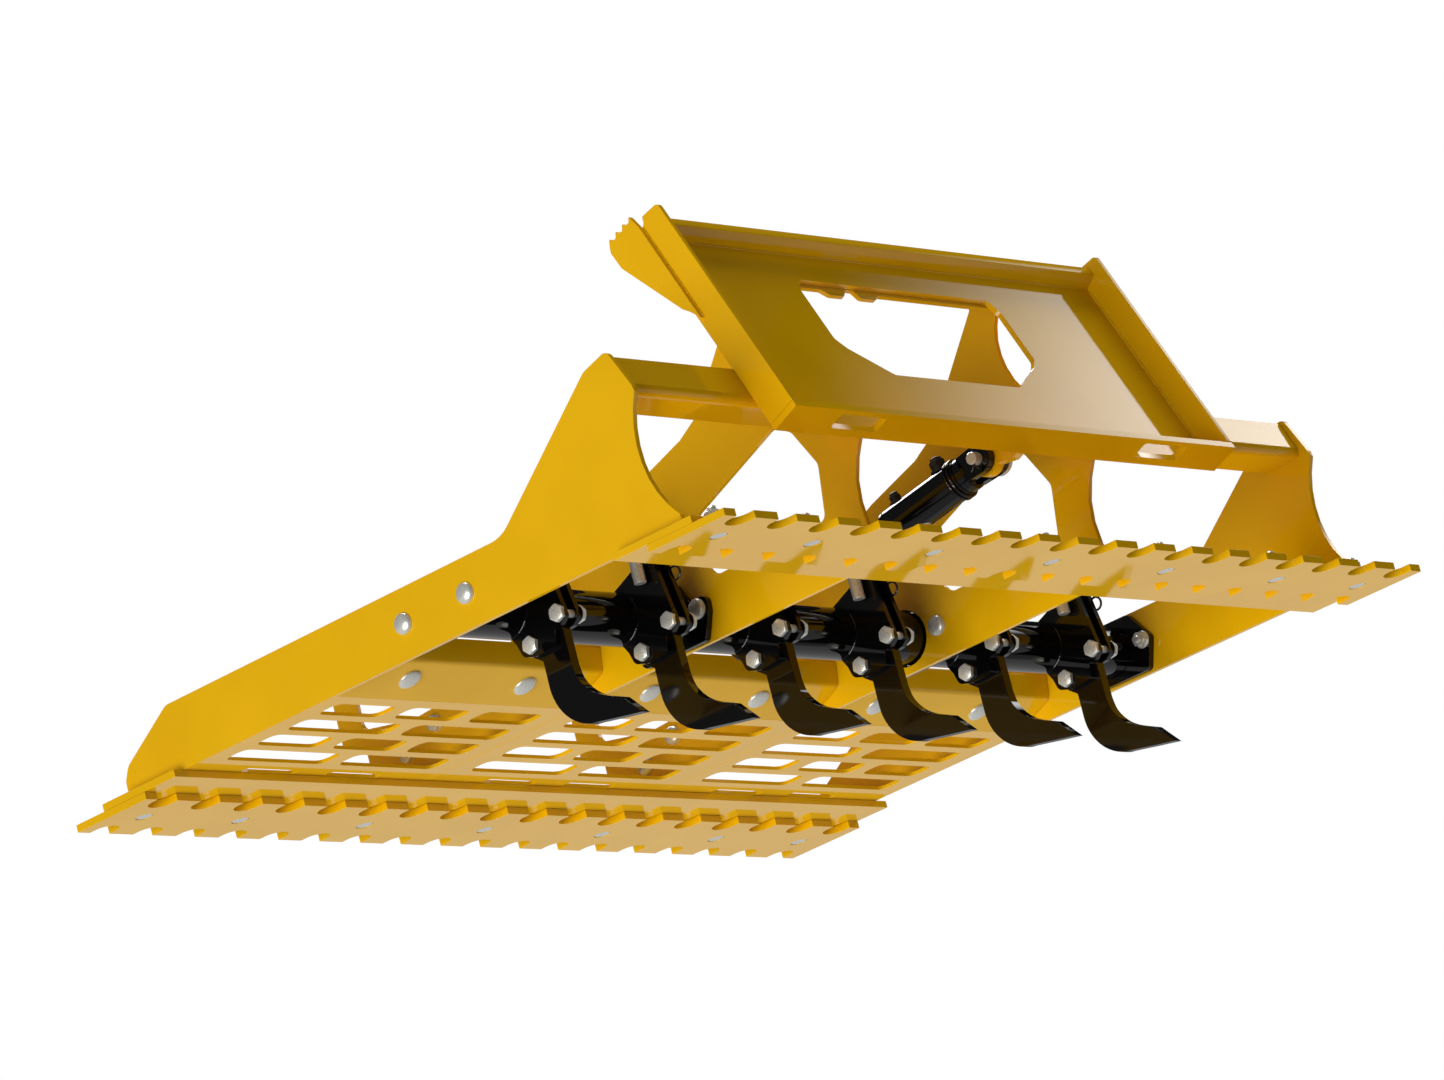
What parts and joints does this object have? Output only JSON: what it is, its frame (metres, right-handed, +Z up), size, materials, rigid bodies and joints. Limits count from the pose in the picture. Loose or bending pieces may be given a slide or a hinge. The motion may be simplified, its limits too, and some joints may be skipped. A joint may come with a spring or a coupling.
{
  "type": "skid steer grading bucket",
  "caption": "Open-floored grading bucket for a skid steer loader, with toothed cutting edges and a hydraulic scarifier that folds down between them.",
  "frame": {"origin": "middle of the footprint, at the height of the lowered shank tips", "axes": "X across the bucket, +Y from the machine towards the bucket's front edge, +Z up"},
  "size_m": [1.8288, 1.4564, 0.8038],
  "materials": {
    "yellow_paint": "glossy warm yellow enamel",
    "black_paint": "glossy black enamel",
    "zinc_plate": "satin zinc plating",
    "bright_steel": "polished steel"
  },
  "bodies": {
    "frame": {"rear_cutting_edge": "yellow_paint", "front_cutting_edge": "yellow_paint", "rear_base_plate": "yellow_paint", "front_base_plate": "yellow_paint", "floor_grate_left": "yellow_paint", "floor_grate_middle": "yellow_paint", "floor_grate_right": "yellow_paint", "ramp_left": "yellow_paint", "ramp_middle": "yellow_paint", "ramp_right": "yellow_paint", "side_plate_left": "yellow_paint", "side_plate_right": "yellow_paint", "rib_left": "yellow_paint", "rib_right": "yellow_paint", "cross_beam": "yellow_paint", "hitch_plate": "yellow_paint", "hitch_lip": "yellow_paint", "hitch_flange": "yellow_paint", "hitch_gusset_left": "yellow_paint", "hitch_gusset_right": "yellow_paint", "step_plate_left": "yellow_paint", "step_plate_right": "yellow_paint", "hose_guard": "yellow_paint", "beam_lug": "yellow_paint", "bearing_plate_1": "black_paint", "bearing_plate_2": "black_paint", "bearing_plate_3": "black_paint", "bearing_plate_4": "black_paint", "base_pin": "zinc_plate"},
    "scarifier": {"scarifier_shaft": "black_paint", "shaft_collar": "black_paint", "clamp_1": "black_paint", "clamp_2": "black_paint", "clamp_3": "black_paint", "clamp_4": "black_paint", "clamp_5": "black_paint", "clamp_6": "black_paint", "shank_1": "black_paint", "shank_2": "black_paint", "shank_3": "black_paint", "shank_4": "black_paint", "shank_5": "black_paint", "shank_6": "black_paint", "lever_pin_1": "zinc_plate", "lever_pin_2": "zinc_plate", "lever_pin_3": "zinc_plate", "hairpin_1": "bright_steel", "hairpin_2": "bright_steel", "hairpin_3": "bright_steel"},
    "barrel": {"cylinder_barrel": "black_paint", "base_clevis": "black_paint", "cylinder_gland": "black_paint"},
    "rod": {"cylinder_rod": "bright_steel", "rod_eye": "black_paint"}
  },
  "joints": [
    {"name": "scarifier_hinge", "type": "hinge", "parent": "frame", "child": "scarifier", "pos_m": [0, -0.09449, 0.24638], "axis": [-1, 0, 0], "range_deg": [0, 50]},
    {"name": "barrel_pivot", "type": "hinge", "parent": "frame", "child": "barrel", "pos_m": [0.13843, -0.47422, 0.41402], "axis": [1, 0, 0], "range_deg": [0, 6.7]},
    {"name": "rod_slide", "type": "slide", "parent": "barrel", "child": "rod", "axis": [0, 0.9862, -0.1657], "range_m": [0, 0.1115]}
  ],
  "couplings": [
    {"joint": "barrel_pivot", "follows": "scarifier_hinge", "ratio": 0.129},
    {"joint": "rod_slide", "follows": "scarifier_hinge", "m_per_rad": 0.12661}
  ]
}
